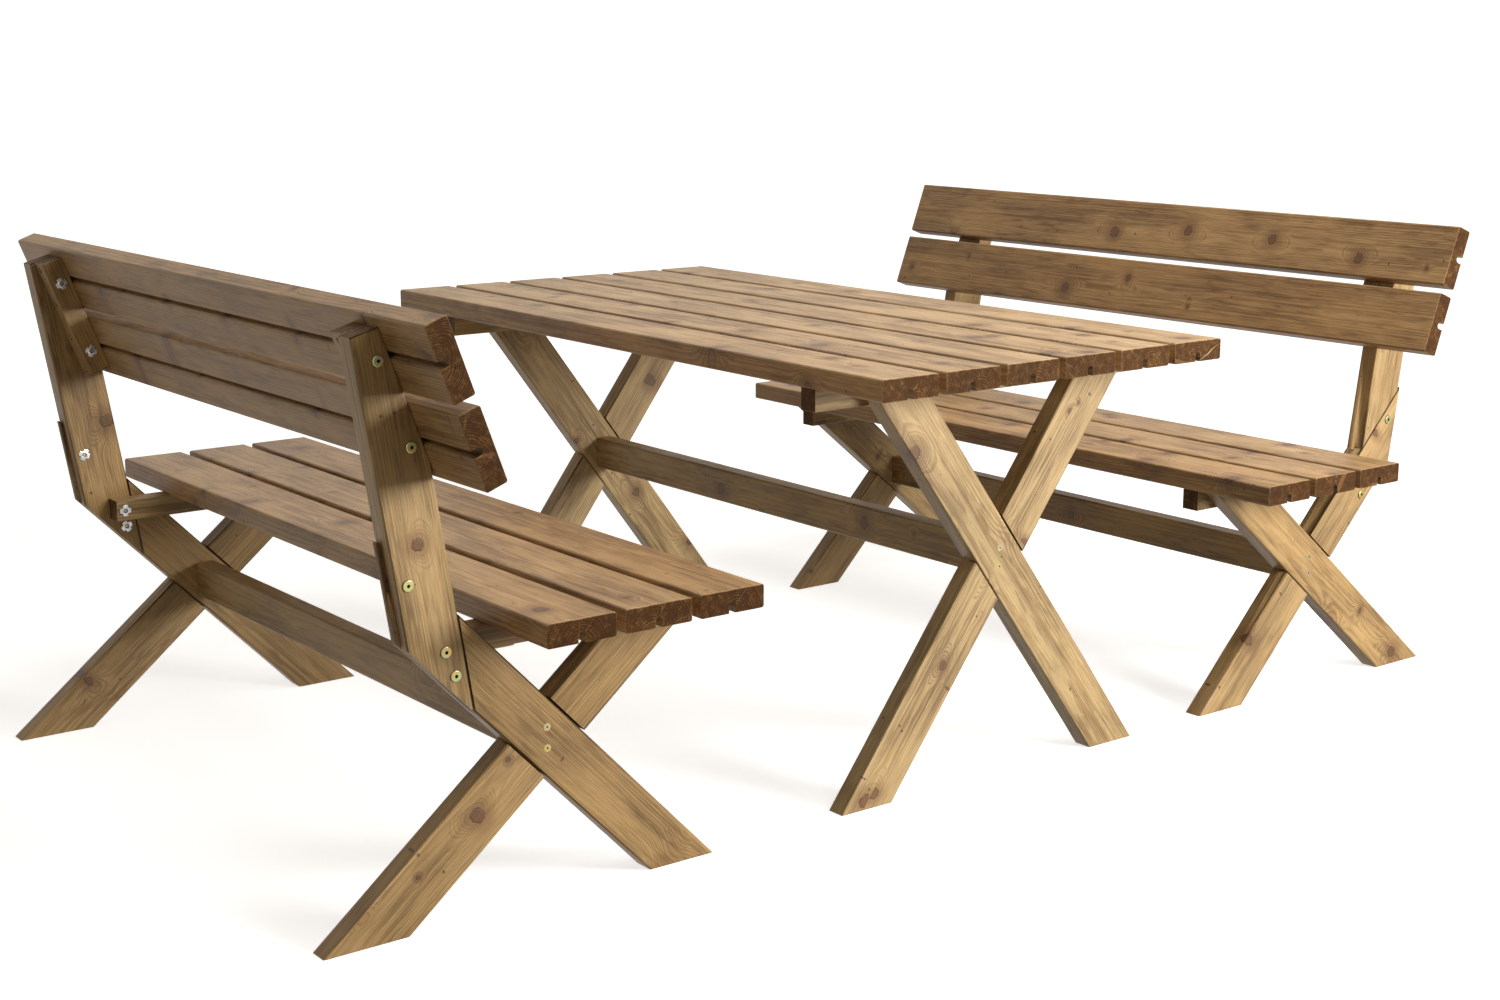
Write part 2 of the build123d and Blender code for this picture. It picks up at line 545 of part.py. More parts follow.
with BuildPart() as stretcher:
    stretcher_bar(BENCH_CROSS_H)
with BuildPart() as frame_screws:
    for frame in FRAMES.values():
        for dz in (-FRAME_SCREW_STEP / 2, FRAME_SCREW_STEP / 2):
            frame_screw(frame["outer"], 0, BENCH_CROSS_H + dz, frame["way"], False)
with BuildPart() as seat_screws:
    for frame in FRAMES.values():
        for y_mid in seat_centres:
            for s in (-1, 1):
                under_screw(frame["batten_mid"], y_mid + s * WOOD_SCREW_STEP / 2, SEAT_UNDER - BATTEN_H, False)
with BuildPart() as back_screws:
    for frame in FRAMES.values():
        for along in back_screw_spots:
            back_screw(frame, along, False)
with BuildPart() as bolts:
    for frame in FRAMES.values():
        for y, z in FRAME_BOLTS:
            bolt_solid(frame["outer"], frame["inner"], y, z)
        for y, z in BATTEN_BOLTS + CLEAT_BOLTS:
            bolt_solid(frame["outer"], frame["batten_face"], y, z)
with BuildPart() as nuts:
    for frame in FRAMES.values():
        for y, z in FRAME_BOLTS:
            nut_solid(frame["inner"], y, z, frame["way"])
        for y, z in BATTEN_BOLTS + CLEAT_BOLTS:
            nut_solid(frame["batten_face"], y, z, frame["way"])
for bench, spot in BENCH_SPOTS.items():
    save(stretcher.part, f"{bench}_bench_stretcher", spot)
    save(frame_screws.part, f"{bench}_bench_frame_screws", spot)
    save(seat_screws.part, f"{bench}_bench_seat_screws", spot)
    save(back_screws.part, f"{bench}_bench_back_screws", spot)
    save(bolts.part, f"{bench}_bench_bolts", spot)
    save(nuts.part, f"{bench}_bench_tee_nuts", spot)
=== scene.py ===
# %% [markdown]
# # A softwood picnic table with two backed benches
#
# The set is made of planed, stained softwood, bolted and screwed together. Its frame, the fixed model
# that is loaded first, already has every timber at its true size and place, and every bolt, nut and
# screw. What is left to do here is what a joiner and a finisher do: ease the sawn ends, open a few
# drying cracks, give the wood its rings, knots and stain, and light the set softly.

import json
import math
import random

import bmesh
import bpy
from mathutils import Matrix, Vector

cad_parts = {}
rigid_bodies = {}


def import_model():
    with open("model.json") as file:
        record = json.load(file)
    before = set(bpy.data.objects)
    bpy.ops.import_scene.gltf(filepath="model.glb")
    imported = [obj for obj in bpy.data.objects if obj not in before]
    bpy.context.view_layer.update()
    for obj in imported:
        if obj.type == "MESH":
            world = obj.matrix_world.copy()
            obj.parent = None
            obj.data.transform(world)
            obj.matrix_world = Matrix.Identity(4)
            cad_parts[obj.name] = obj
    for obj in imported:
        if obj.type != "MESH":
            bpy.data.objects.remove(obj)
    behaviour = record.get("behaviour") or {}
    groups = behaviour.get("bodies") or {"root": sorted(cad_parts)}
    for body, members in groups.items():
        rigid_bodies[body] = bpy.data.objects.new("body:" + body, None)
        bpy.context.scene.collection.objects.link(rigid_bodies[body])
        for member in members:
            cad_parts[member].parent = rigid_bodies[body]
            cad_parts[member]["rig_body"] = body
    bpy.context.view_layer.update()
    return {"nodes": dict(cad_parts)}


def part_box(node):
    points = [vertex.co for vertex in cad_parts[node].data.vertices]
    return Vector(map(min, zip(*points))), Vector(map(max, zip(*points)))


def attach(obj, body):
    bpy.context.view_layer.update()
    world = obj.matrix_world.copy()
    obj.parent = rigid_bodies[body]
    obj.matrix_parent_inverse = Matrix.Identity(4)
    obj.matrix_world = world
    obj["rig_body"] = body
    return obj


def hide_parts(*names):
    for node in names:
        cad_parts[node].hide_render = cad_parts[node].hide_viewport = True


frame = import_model()
cad = frame["nodes"]

# %% [markdown]
# ## The camera
#
# The set is seen from beside one end of the table, from about a standing child's eye height, with a
# normal lens. A camera in Blender looks along its own -Z, so it is stood up by a quarter turn, tipped
# down a little, and then turned about the vertical.

# %% Stand the camera beside the end of the table
LENS = 51.9
CAMERA_PLACE = (3.177, -2.456, 1.243)
CAMERA_TURN = 52.53
CAMERA_TIP = 12.08


def add_object(name, data):
    """Adds a new object with this data to the scene."""
    made = bpy.data.objects.new(name, data)
    bpy.context.scene.collection.objects.link(made)
    return made


camera = add_object("camera", bpy.data.cameras.new("camera"))
camera.data.lens = LENS
camera.location = CAMERA_PLACE
camera.rotation_euler = (math.radians(90 - CAMERA_TIP), 0, math.radians(CAMERA_TURN))
bpy.context.scene.camera = camera
print("the camera stands", round(camera.location.length, 2), "m from the middle of the set")

# %% [markdown]
# ## One timber, ready for finishing
#
# A timber from the frame is a soup of loose triangles. It could be drawn again from a cube, but the
# frame already has its laps, slots and holes in the right places, so a copy is welded and its flat
# faces are made whole. That leaves a clean piece that can be worked on as by hand.

# %% Helpers that pick one object and copy a timber
HARDWARE = ("screws", "bolts", "nuts")
WELD = 1e-5
FLAT = math.radians(0.5)
timber_names = sorted(name for name in cad if not name.endswith(HARDWARE))
print(len(timber_names), "timbers and", len(cad) - len(timber_names), "sets of hardware")


def pick(piece):
    """Makes piece the only selected object, and the active one."""
    bpy.ops.object.select_all(action="DESELECT")
    piece.select_set(True)
    bpy.context.view_layer.objects.active = piece


def open_copy(node, name):
    """A copy of a node of the frame, left open in edit mode with its triangles welded."""
    piece = add_object(name, cad[node].data.copy())
    pick(piece)
    bpy.ops.mesh.customdata_custom_splitnormals_clear()
    bpy.ops.object.mode_set(mode="EDIT")
    bpy.ops.mesh.select_all(action="SELECT")
    bpy.ops.mesh.remove_doubles(threshold=WELD)
    return piece


def copy_timber(node):
    """A welded copy of a timber of the frame, with its flat faces made whole."""
    piece = open_copy(node, "timber_" + node)
    bpy.ops.mesh.dissolve_limited(angle_limit=FLAT)
    bpy.ops.object.mode_set(mode="OBJECT")
    return piece


# %% [markdown]
# ## Which way the grain runs
#
# Wood looks like wood because it is cut from a log. The grain runs along a timber's longest edge, and
# a board is laid with its widest whole face showing. These two directions, and a third square to both,
# are the timber's own axes: along, across and out.

# %% Helpers that measure a timber by its own axes
def timber_axes(mesh):
    """The directions along the grain, across the timber, and out of its show face."""
    points = [v.co for v in mesh.vertices]
    runs = [points[e.vertices[1]] - points[e.vertices[0]] for e in mesh.edges]
    along = max(runs, key=lambda run: run.length).normalized()
    out = max(mesh.polygons, key=lambda face: face.area).normal.copy()
    return along, out.cross(along), out


def span(mesh, way):
    """How far a mesh reaches in a direction, at its lowest and at its highest."""
    reach = [v.co.dot(way) for v in mesh.vertices]
    return min(reach), max(reach)


def middle_of(piece):
    """The middle of a piece's box."""
    return sum((Vector(corner) for corner in piece.bound_box), Vector()) / 8


# %% [markdown]
# ## Easing the sawn ends
#
# A planed timber comes with rounded long edges, but its ends are sawn off square and then only eased
# with a sanding block. That narrow, lighter edge catches the light all round the end grain. A real bevel
# shows in the outline, so the edges round each end are selected and bevelled, and the finish later
# paints them lighter as well, partly as wear and partly as a painted highlight. A sawn end is a face
# near the timber's end that isn't tiny and looks more or less along the grain: feet are sawn at a
# slant. Blender keeps the selection of edges through a change of mode only while it selects by edge,
# so that is set first.

# %% Helpers that find and ease the ends
EASE = 0.0013
END_REACH = 0.06
END_AREA = 4e-4
END_SQUARE = 0.6
RIM_SHARP = math.radians(25)
bpy.context.scene.tool_settings.mesh_select_mode = (False, True, False)
print("the rims of the sawn ends are eased by", round(EASE * 1000, 1), "mm")


def end_faces(mesh, along):
    """The numbers of the faces that are sawn across the grain at either end of the timber."""
    low, high = span(mesh, along)
    found = set()
    for face in mesh.polygons:
        place = face.center.dot(along)
        near_end = min(place - low, high - place) < END_REACH
        if near_end and abs(face.normal.dot(along)) > END_SQUARE and face.area > END_AREA:
            found.add(face.index)
    return found


def unselect(mesh):
    """Leaves nothing of a mesh selected."""
    for part in (mesh.vertices, mesh.edges, mesh.polygons):
        part.foreach_set("select", [False] * len(part))


def ease_ends(piece, along):
    """Bevels the edges round the sawn ends, and returns the numbers of the new narrow faces."""
    mesh = piece.data
    ends = end_faces(mesh, along)
    beside = {}
    for face in mesh.polygons:
        for key in face.edge_keys:
            beside.setdefault(key, []).append(face)
    unselect(mesh)
    for edge in mesh.edges:
        faces = beside[edge.key]
        rim = len(faces) == 2 and sum(f.index in ends for f in faces) == 1
        if rim and faces[0].normal.angle(faces[1].normal) > RIM_SHARP:
            edge.select = True
    pick(piece)
    bpy.ops.object.mode_set(mode="EDIT")
    bpy.ops.mesh.bevel(offset=EASE, segments=2, affect="EDGES", clamp_overlap=False)
    bpy.ops.object.mode_set(mode="OBJECT")
    return {face.index for face in piece.data.polygons if face.select and face.area < END_AREA}


# %% [markdown]
# ## Marking each timber for its finish
#
# A pattern that is only wrapped round a box gives itself away at the corners. Here every point of a
# timber knows its place in the log that it was sawn from: how far along the log, and how far from the
# heart, the pith. The rings and knots are then one solid pattern that the faces cut through, so the
# cathedral figure on a face and the arcs on the end of the same board agree. Boards are laid heart side
# down, with the pith near the hidden face. Frame timbers are sawn from further out in the log.

# %% Helpers that write the marks
SIDE_WEAR_AND_HIGHLIGHT = 0.25
UP_WEAR_AND_HIGHLIGHT = 0.75
PITH_BELOW = {"board": (-0.004, 0.010), "frame": (0.006, 0.045)}
PITH_ASIDE = {"board": (-0.014, 0.014), "frame": (-0.030, 0.030)}
LOG_START = (1, 40)
TONES = {"bench": (0.0, 0.6), "table": (0.5, 1.0)}
chance = random.Random(11)
print("a board's pith lies within", round(PITH_ASIDE["board"][1] * 1000, 1), "mm of its middle line")


def add_mark(mesh, name, kind, domain, values):
    """Writes one value for each point or face into a named attribute."""
    mark = mesh.attributes.new(name, kind, domain)
    mark.data.foreach_set("vector" if kind == "FLOAT_VECTOR" else "value", values)


def mark_wear_and_highlight(mesh, eased):
    """Writes how far each face is rubbed and lit: the eased rims are, as wear and a painted highlight, and
    most of all where they face up.
    """
    # Wear and painted highlight: the eased rims count, and count more the more they face up.
    wear = [(SIDE_WEAR_AND_HIGHLIGHT + UP_WEAR_AND_HIGHLIGHT * max(0.0, f.normal.z)) * (f.index in eased) for f in mesh.polygons]
    add_mark(mesh, "rim_wear_and_highlight", "FLOAT", "FACE", wear)


def mark_timber(piece, axes):
    """Writes the place in the log, how much end grain a face shows, and the piece's tone."""
    mesh = piece.data
    along, across, out = axes
    points = [v.co for v in mesh.vertices]
    middle = middle_of(piece)
    depth = max((p - middle).dot(out) for p in points)
    kind = "board" if "board" in piece.name else "frame"
    pith = middle - out * (depth + chance.uniform(*PITH_BELOW[kind]))
    pith += across * chance.uniform(*PITH_ASIDE[kind])
    start = chance.uniform(*LOG_START)
    log = []
    for p in points:
        log += [(p - pith).dot(along) + start, (p - pith).dot(across), (p - pith).dot(out)]
    add_mark(mesh, "log", "FLOAT_VECTOR", "POINT", log)
    add_mark(mesh, "sawn", "FLOAT", "FACE", [abs(f.normal.dot(along)) for f in mesh.polygons])
    tone = chance.uniform(*TONES["bench" if "bench" in piece.name else "table"])
    add_mark(mesh, "tone", "FLOAT", "FACE", [tone] * len(mesh.polygons))


# %% [markdown]
# ## Drying cracks
#
# A board dries fastest at its ends, and splits there along lines that run out from the pith. A crack
# could be a dark line in the paint, but then its walls would never catch the light. So a thin blade is
# made from a cube, worn down to nothing towards its tip and its inner end, put out of true, and cut out
# of the board's end with a boolean. The rims are eased before this, because a crack stays sharp. A
# boolean goes wrong where two faces only just touch, so the blade's root starts well inside the groove.

# %% Helpers that make a blade and cut with it
BLADE_CUTS = 7
BLADE_BEND = (0.0005, 0.0014)
TIP_TAPER = 0.8
INNER_TAPER = 0.7
split = random.Random(29)
print("a blade is put out of true by", [round(bend * 1000, 1) for bend in BLADE_BEND], "mm")


def crack_blade(long, wide, deep):
    """A thin ragged blade at the origin: X goes into the end grain, and Z from the root to the tip."""
    bpy.ops.object.select_all(action="DESELECT")
    bpy.ops.mesh.primitive_cube_add(size=1, location=(0, 0, long / 2), scale=(2 * deep, wide, long))
    blade = bpy.context.object
    bpy.ops.object.transform_apply(location=True, rotation=True, scale=True)
    bpy.ops.object.mode_set(mode="EDIT")
    bpy.ops.mesh.subdivide(number_cuts=BLADE_CUTS)
    bpy.ops.object.mode_set(mode="OBJECT")
    bend, phase = split.uniform(*BLADE_BEND), split.uniform(0, 6)
    for v in blade.data.vertices:
        up = v.co.z / long
        inward = abs(v.co.x) / deep
        v.co.y *= (1.0 - TIP_TAPER * up) * (1.0 - INNER_TAPER * inward)
        v.co.y += bend * math.sin(phase + 9 * up + 2 * inward) + 0.3 * bend * math.sin(31 * up)
    return blade


def cut_crack(piece, axes, end, root, lean, blade):
    """Cuts with a blade: root is how far across and how far up from the middle of the end it starts."""
    along, across, out = axes
    middle = middle_of(piece)
    rise = (out * math.cos(lean) + across * math.sin(lean)).normalized()
    start = middle + along * (end - middle.dot(along)) + across * root[0] + out * root[1]
    turn = Matrix((along, rise.cross(along), rise)).transposed()
    blade.matrix_world = Matrix.Translation(start) @ turn.to_4x4()
    pick(piece)
    cut = piece.modifiers.new("crack", "BOOLEAN")
    cut.object = blade
    cut.operation = "DIFFERENCE"
    bpy.ops.object.modifier_apply(modifier=cut.name)
    bpy.data.objects.remove(blade)


# %% A helper that opens the cracks of one board
CRACK_DEEP = 0.035
CRACK_WIDE = 0.0016
CRACK_LONG = (0.4, 1.15)
CRACK_LEAN = 58
CRACK_ODDS = 0.6
ROOT_HIGH = 0.0095
print("a crack is", round(CRACK_WIDE * 1000, 1), "mm wide and", round(CRACK_DEEP * 1000, 1), "mm deep")


def crack_ends(piece, axes):
    """Opens a crack in some of a board's ends, from the groove up and out to one side."""
    along, _, out = axes
    bottom, top = span(piece.data, out)
    thick = top - bottom
    for end in span(piece.data, along):
        lean = math.radians(split.uniform(-CRACK_LEAN, CRACK_LEAN))
        long = split.uniform(*CRACK_LONG) * (thick - ROOT_HIGH) / math.cos(lean)
        if split.random() < CRACK_ODDS:
            blade = crack_blade(long, CRACK_WIDE, CRACK_DEEP)
            cut_crack(piece, axes, end, (0, ROOT_HIGH - thick / 2), lean, blade)


# %% [markdown]
# ### One torn board
#
# The outermost board of the table has split right across, from its groove to its edge, and a strip has
# torn out along the split. The blade for it is wide and shallow, so that the light wood of its walls
# can be seen.

# %% A helper for the torn board
TORN_LONG = 0.056
TORN_WIDE = 0.0050
TORN_DEEP = 0.008
TORN_LEAN = math.radians(64)
TORN_ROOT = (0.005, -0.0145)


def tear_end(piece, axes):
    """Tears the +X end of a board, from its groove out to its +Y edge."""
    along, across, _ = axes
    low, high = span(piece.data, along)
    end = high if along.x > 0 else low
    side = 1 if across.y > 0 else -1
    blade = crack_blade(TORN_LONG, TORN_WIDE, TORN_DEEP)
    cut_crack(piece, axes, end, (side * TORN_ROOT[0], TORN_ROOT[1]), side * TORN_LEAN, blade)


torn_board = max((n for n in timber_names if n.startswith("table_board")), key=lambda n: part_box(n)[1].y)
print("the torn board is", torn_board)

# %% [markdown]
# ### Every timber in turn
#
# The order of the work matters. The rims are eased while the ends are still whole. The wear and the
# painted highlight of the rims are written straight after, while the new narrow faces are known by
# number. The cracks come next, and the place in the log is written last, because a cut makes new
# points. Weighted normals then keep the wide faces flat and the rims smooth. Each piece says which
# node of the frame it stands for, which body it moves with, and which finish it takes.

# %% Finish every timber's shape
timbers = {}
for name in timber_names:
    piece = copy_timber(name)
    axes = timber_axes(piece.data)
    mark_wear_and_highlight(piece.data, ease_ends(piece, axes[0]))
    if name == torn_board:
        tear_end(piece, axes)
    elif "board" in name:
        crack_ends(piece, axes)
    mark_timber(piece, axes)
    bpy.ops.object.shade_smooth()
    bpy.ops.object.modifier_add(type="WEIGHTED_NORMAL")
    bpy.ops.object.modifier_apply(modifier=piece.modifiers[0].name)
    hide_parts(name)
    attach(piece, cad[name]["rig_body"])
    timbers[name] = piece
faces = sum(len(piece.data.polygons) for piece in timbers.values())
print(len(timbers), "timbers shaped, with", faces, "faces")

# %% [markdown]
# ### Weigh the timbers
#
# When a boolean fails it can empty a piece without a word. Eased ends and a few cracks take away less
# than a thousandth of a timber, so every one is measured against the frame, and a loss stops the work.

# %% Measure what each timber kept
KEPT_LEAST = 0.999
KEPT_MOST = 1.0005


def volume(mesh):
    """The volume inside a mesh, in cubic metres."""
    solid = bmesh.new()
    solid.from_mesh(mesh)
    bmesh.ops.remove_doubles(solid, verts=solid.verts, dist=1e-6)
    amount = solid.calc_volume(signed=True)
    solid.free()
    return amount


kept = {name: volume(piece.data) / volume(cad[name].data) for name, piece in timbers.items()}
print("each timber kept between", round(min(kept.values()), 5), "and", round(max(kept.values()), 5))
lost = [name for name, share in kept.items() if not KEPT_LEAST < share < KEPT_MOST]
if lost:
    raise ValueError("these timbers lost or gained wood: " + ", ".join(lost))

# %% [markdown]
# ## The figure of the wood
#
# The figure is drawn by shader nodes from the place in the log. It is kept in one group, because the
# boards and the frames are the same wood with a different stain. Small helpers keep the wiring short:
# one adds a node, two do sums, one stretches a range of values, and one makes noise that is drawn out
# along the grain. A log is never quite straight, so the place is bent a little before it is turned into
# a distance from the pith and an angle round it.

# %% Helpers that add shader nodes
def wire(tree, kind, inputs, **settings):
    """Adds a node, applies its settings, and links or sets its inputs."""
    made = tree.nodes.new("ShaderNode" + kind)
    for key, value in settings.items():
        setattr(made, key, value)
    for key, value in inputs.items():
        if isinstance(value, bpy.types.NodeSocket):
            tree.links.new(value, made.inputs[key])
        else:
            made.inputs[key].default_value = value
    return made


def calc(tree, operation, *values):
    """The result of one sum."""
    return wire(tree, "Math", dict(enumerate(values)), operation=operation).outputs[0]


def vector_calc(tree, operation, *values):
    """The result of one vector sum."""
    return wire(tree, "VectorMath", dict(enumerate(values)), operation=operation).outputs[0]


def spread(tree, value, low, high, to_low=0.0, to_high=1.0):
    """value, eased from one range into another and held at its ends."""
    inputs = {"Value": value, "From Min": low, "From Max": high, "To Min": to_low, "To Max": to_high}
    return wire(tree, "MapRange", inputs, interpolation_type="SMOOTHSTEP").outputs["Result"]


def grain_noise(tree, place, scale, detail=3.0, roughness=0.55):
    """Noise that is drawn out along the grain: scale gives its bumps in one metre each way."""
    stretched = vector_calc(tree, "MULTIPLY", place, scale)
    inputs = {"Vector": stretched, "Scale": 1.0, "Detail": detail, "Roughness": roughness}
    return wire(tree, "TexNoise", inputs)


# %% Begin the figure with the place in the log
WANDER = 0.016

figure = bpy.data.node_groups.new("softwood_figure", "ShaderNodeTree")
in_log = wire(figure, "Attribute", {}, attribute_name="log").outputs["Vector"]
wander = grain_noise(figure, in_log, (1.3, 9.0, 9.0), detail=2.0).outputs["Color"]
wander = vector_calc(figure, "SUBTRACT", wander, (0.5, 0.5, 0.5))
wander = vector_calc(figure, "MULTIPLY", wander, (0.0, WANDER, WANDER))
bent = wire(figure, "SeparateXYZ", {0: vector_calc(figure, "ADD", in_log, wander)}).outputs
radius = calc(figure, "SQRT", calc(figure, "ADD", calc(figure, "POWER", bent["Y"], 2.0),
                                   calc(figure, "POWER", bent["Z"], 2.0)))
angle = calc(figure, "ARCTAN2", bent["Y"], bent["Z"])
print("the figure starts with", len(figure.nodes), "nodes")

# %% [markdown]
# ### Knots
#
# A knot is the root of a branch, which grows straight out from the pith. So knots are scattered along
# the log and round it, on a cell pattern whose two directions are length and angle. The cell gives the
# place of its knot, and the distance from that branch's line is worked out in metres. A face that cuts
# a branch square shows a round knot, and one that cuts it along shows a long one. Pin knots are the
# same with thinner and closer branches. Some cells stay bare, so that the knots don't come evenly.

# %% Scatter the branches
KNOTS = {"along": 4.4, "around": 0.85, "smallest": 0.003, "largest": 0.011, "bare": 0.42}
PINS = {"along": 9.0, "around": 2.0, "smallest": 0.0006, "largest": 0.0022, "bare": 0.62}


def branches(tree, along, around, smallest, largest, bare):
    """How far a point is from the nearest branch's line, in branch radii, and that radius in metres."""
    grid = wire(tree, "CombineXYZ", {"X": calc(tree, "MULTIPLY", bent["X"], along),
                                     "Y": calc(tree, "MULTIPLY", angle, around)})
    cell = wire(tree, "TexVoronoi", {"Vector": grid.outputs[0], "Scale": 1.0, "Randomness": 0.95},
                voronoi_dimensions="2D").outputs
    spot = wire(tree, "SeparateXYZ", {0: cell["Position"]}).outputs
    luck = wire(tree, "SeparateColor", {0: cell["Color"]}).outputs
    aside = calc(tree, "SUBTRACT", bent["X"], calc(tree, "DIVIDE", spot["X"], along))
    turned = calc(tree, "SUBTRACT", angle, calc(tree, "DIVIDE", spot["Y"], around))
    turned = calc(tree, "MULTIPLY", turned, radius)
    away = calc(tree, "SQRT", calc(tree, "ADD", calc(tree, "POWER", aside, 2.0),
                                   calc(tree, "POWER", turned, 2.0)))
    size = spread(tree, luck["Red"], bare, 1.0, smallest, largest)
    size = calc(tree, "MULTIPLY", size, calc(tree, "GREATER_THAN", luck["Red"], bare))
    size = calc(tree, "ADD", size, 0.00005)
    return calc(tree, "DIVIDE", away, size), size


knot_away, knot_size = branches(figure, **KNOTS)
pin_away, _ = branches(figure, **PINS)
ragged = grain_noise(figure, in_log, (90.0, 160.0, 160.0), detail=3.0).outputs["Fac"]
knot_edge = calc(figure, "MULTIPLY", knot_away, spread(figure, ragged, 0.25, 0.75, 0.82, 1.2))
print("with its branches the figure has", len(figure.nodes), "nodes")

# %% [markdown]
# ### Growth rings
#
# Every year adds a ring: a wide light band of early wood that darkens into a thin hard line of late
# wood and then stops sharply. So the distance from the pith is counted in rings, and the part of a
# ring that a point has passed gives its colour. The rings swell round a branch, which draws the eyes
# round the knots, and they are wider in good years. The swelling follows the knot's smooth outline and
# not its ragged edge, because a ragged one would break the rings up.

# %% Count the rings
RING = 0.0034
KNOT_FADE = -0.11
KNOT_SWELL = -2.3
GOOD_YEARS = 0.012
SHAKE = 0.0016

near_knot = calc(figure, "MULTIPLY", calc(figure, "POWER", knot_away, 2.0), KNOT_FADE)
near_knot = calc(figure, "EXPONENT", near_knot)
swell = calc(figure, "MULTIPLY", calc(figure, "MULTIPLY", near_knot, knot_size), KNOT_SWELL)
grown = calc(figure, "ADD", radius, swell)
years = wire(figure, "TexNoise", {"W": calc(figure, "MULTIPLY", grown, 75.0), "Scale": 1.0, "Detail": 1.0},
             noise_dimensions="1D").outputs["Fac"]
grown = calc(figure, "ADD", grown, calc(figure, "MULTIPLY", years, GOOD_YEARS))
shake = grain_noise(figure, in_log, (16.0, 120.0, 120.0), detail=2.0).outputs["Fac"]
grown = calc(figure, "ADD", grown, calc(figure, "MULTIPLY", shake, SHAKE))
season = calc(figure, "FRACT", calc(figure, "DIVIDE", grown, RING))
late_wood = calc(figure, "MULTIPLY", spread(figure, season, 0.35, 0.88), spread(figure, season, 1.0, 0.93))
print("a year's ring is", round(RING * 1000, 1), "mm wide, and the figure has", len(figure.nodes), "nodes")

# %% [markdown]
# ### Fibres and stain
#
# Between the rings the eye sees fine fibres, short dark darts and longer streaks, where the stain has
# soaked in more or less. They are layers of noise, each drawn out along the grain by its own amount.
# A sawn end shows instead the rays that fan out from the pith.

# %% Draw the fibres, darts, streaks, clouds and rays
fibres = grain_noise(figure, in_log, (16.0, 850.0, 850.0), detail=3.0, roughness=0.65).outputs["Fac"]
darts = grain_noise(figure, in_log, (30.0, 1100.0, 1100.0), detail=1.0).outputs["Fac"]
darts = spread(figure, darts, 0.60, 0.70)
streaks = grain_noise(figure, in_log, (1.8, 95.0, 95.0), detail=4.0, roughness=0.6).outputs["Fac"]
clouds = grain_noise(figure, in_log, (5.0, 17.0, 17.0), detail=3.0).outputs["Fac"]
fan = wire(figure, "CombineXYZ", {"X": calc(figure, "MULTIPLY", angle, 11.0),
                                  "Y": calc(figure, "MULTIPLY", radius, 30.0),
                                  "Z": calc(figure, "MULTIPLY", bent["X"], 3.0)}).outputs[0]
fan = wire(figure, "TexNoise", {"Vector": fan, "Scale": 1.0, "Detail": 2.0}).outputs["Fac"]
pith_rays = spread(figure, fan, 0.58, 0.70)
print("the figure has", len(figure.nodes), "nodes")

# %% Draw the knots and close the figure
knot_rings = calc(figure, "SINE", calc(figure, "MULTIPLY", knot_edge, 24.0))
knot_core = spread(figure, knot_edge, 1.06, 0.90)
knot_rim = calc(figure, "MULTIPLY", spread(figure, knot_edge, 0.78, 0.98),
                spread(figure, knot_edge, 1.22, 1.0))
pins = spread(figure, pin_away, 1.5, 0.8)

figure_outputs = {
    "Late wood": late_wood, "Fibres": fibres, "Streaks": streaks, "Clouds": clouds, "Near knot": near_knot,
    "Knot": knot_core, "Knot rim": knot_rim, "Knot rings": knot_rings, "Pins": pins, "Darts": darts,
    "Smudges": shake, "Pith rays": pith_rays,
}
for label in figure_outputs:
    figure.interface.new_socket(label, in_out="OUTPUT", socket_type="NodeSocketFloat")
group_end = figure.nodes.new("NodeGroupOutput")
for label, socket in figure_outputs.items():
    figure.links.new(socket, group_end.inputs[label])
print("the finished figure has", len(figure.nodes), "nodes and", len(figure_outputs), "outputs")

# %% [markdown]
# ## The stained finish
#
# The stain is a brown impregnation that lets the figure show. The finish could be one long list of
# nodes, but a wood finisher thinks of it in layers, so each layer has its own helper here: the planed
# face, the sawn end, the knots, the wear and weather, and last the surface that the light meets.

# %% Helpers that mix colours
def blend(tree, amount, first, second):
    """first, with second over it by amount."""
    mixed = wire(tree, "Mix", {}, data_type="RGBA")
    for key, value in ((0, amount), (6, first), (7, second)):
        if isinstance(value, bpy.types.NodeSocket):
            tree.links.new(value, mixed.inputs[key])
        else:
            mixed.inputs[key].default_value = value if key == 0 else (*value, 1.0)
    return mixed.outputs[2]


def darker(colour, share):
    """A colour with only a share of its light."""
    return [c * share for c in colour]


def mark_on(tree, name):
    """What the piece's own mark of that name says."""
    return wire(tree, "Attribute", {}, attribute_name=name).outputs["Fac"]


# %% [markdown]
# ### The planed face
#
# On a planed face the early wood is honey brown and the late wood darker. The stain soaks in unevenly,
# so brown streaks, smudges and darts lie over the rings, strongest where the clouds say that the wood
# is soft. The wood darkens towards a knot.

# %% The colour of a planed face
NEAR_KNOT = (0.16, 0.075, 0.03)


